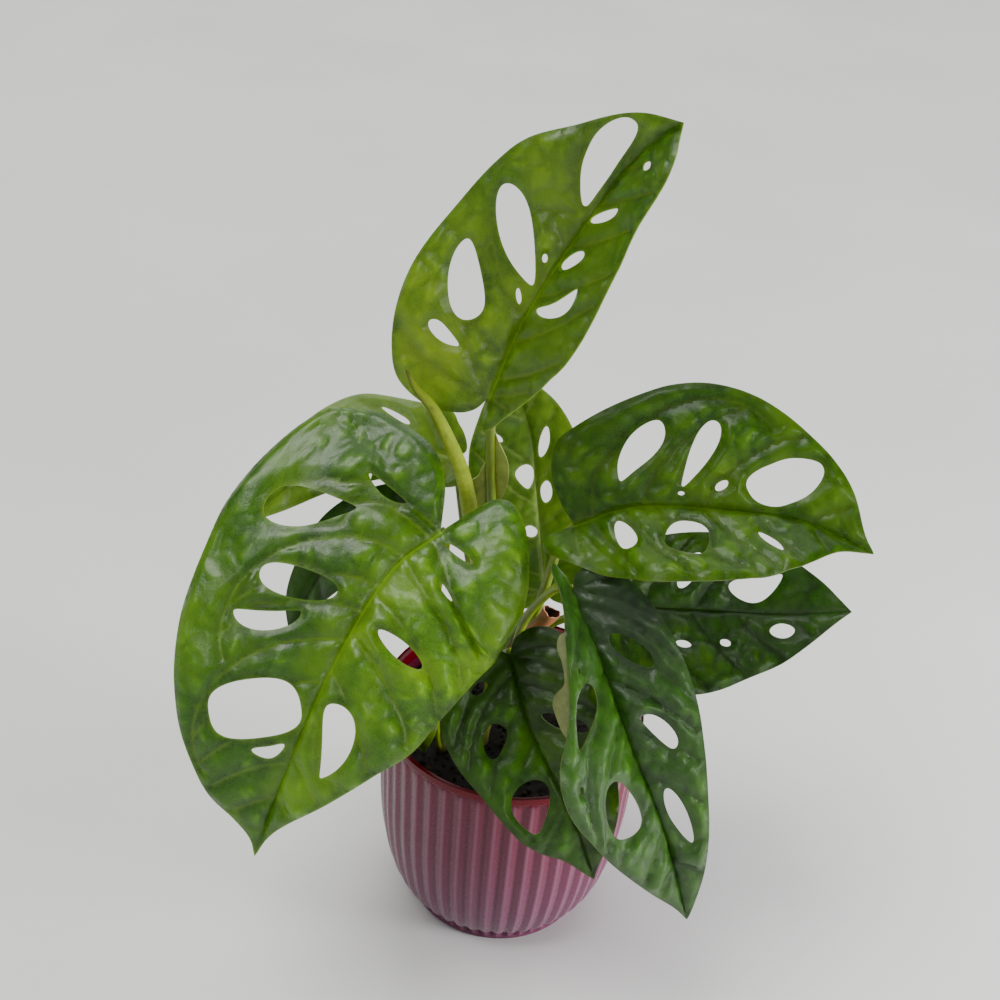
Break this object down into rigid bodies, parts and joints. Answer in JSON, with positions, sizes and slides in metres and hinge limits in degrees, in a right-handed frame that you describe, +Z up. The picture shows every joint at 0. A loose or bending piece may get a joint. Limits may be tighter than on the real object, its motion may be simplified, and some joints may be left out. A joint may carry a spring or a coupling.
{
  "type": "potted monstera plant",
  "caption": "Potted swiss cheese plant with broad oval leaves pierced by long holes, a new rolled leaf and a ribbed round plastic pot with a smooth lip.",
  "frame": {"origin": "middle of the pot's flat underside", "axes": "+Z up out of the pot, -Y to the plant's front, which most leaves face, +X to the right seen from the front"},
  "size_m": [0.323, 0.1974, 0.4426],
  "materials": {
    "pot": "satin",
    "soil": "matte",
    "stem": "satin",
    "leaf": "satin",
    "young": "satin"
  },
  "bodies": {
    "root": {"pot": "pot", "soil": "soil", "stem_middle": "stem", "stem_left": "stem", "stem_right": "stem", "leaf_top": "leaf", "leaf_left": "leaf", "leaf_right": "leaf", "leaf_right_low": "leaf", "leaf_front_right": "leaf", "leaf_front_middle": "leaf", "leaf_back": "leaf", "leaf_left_back": "leaf", "leaf_left_low": "leaf", "leaf_small": "leaf", "rolled_leaf": "young"}
  },
  "joints": []
}
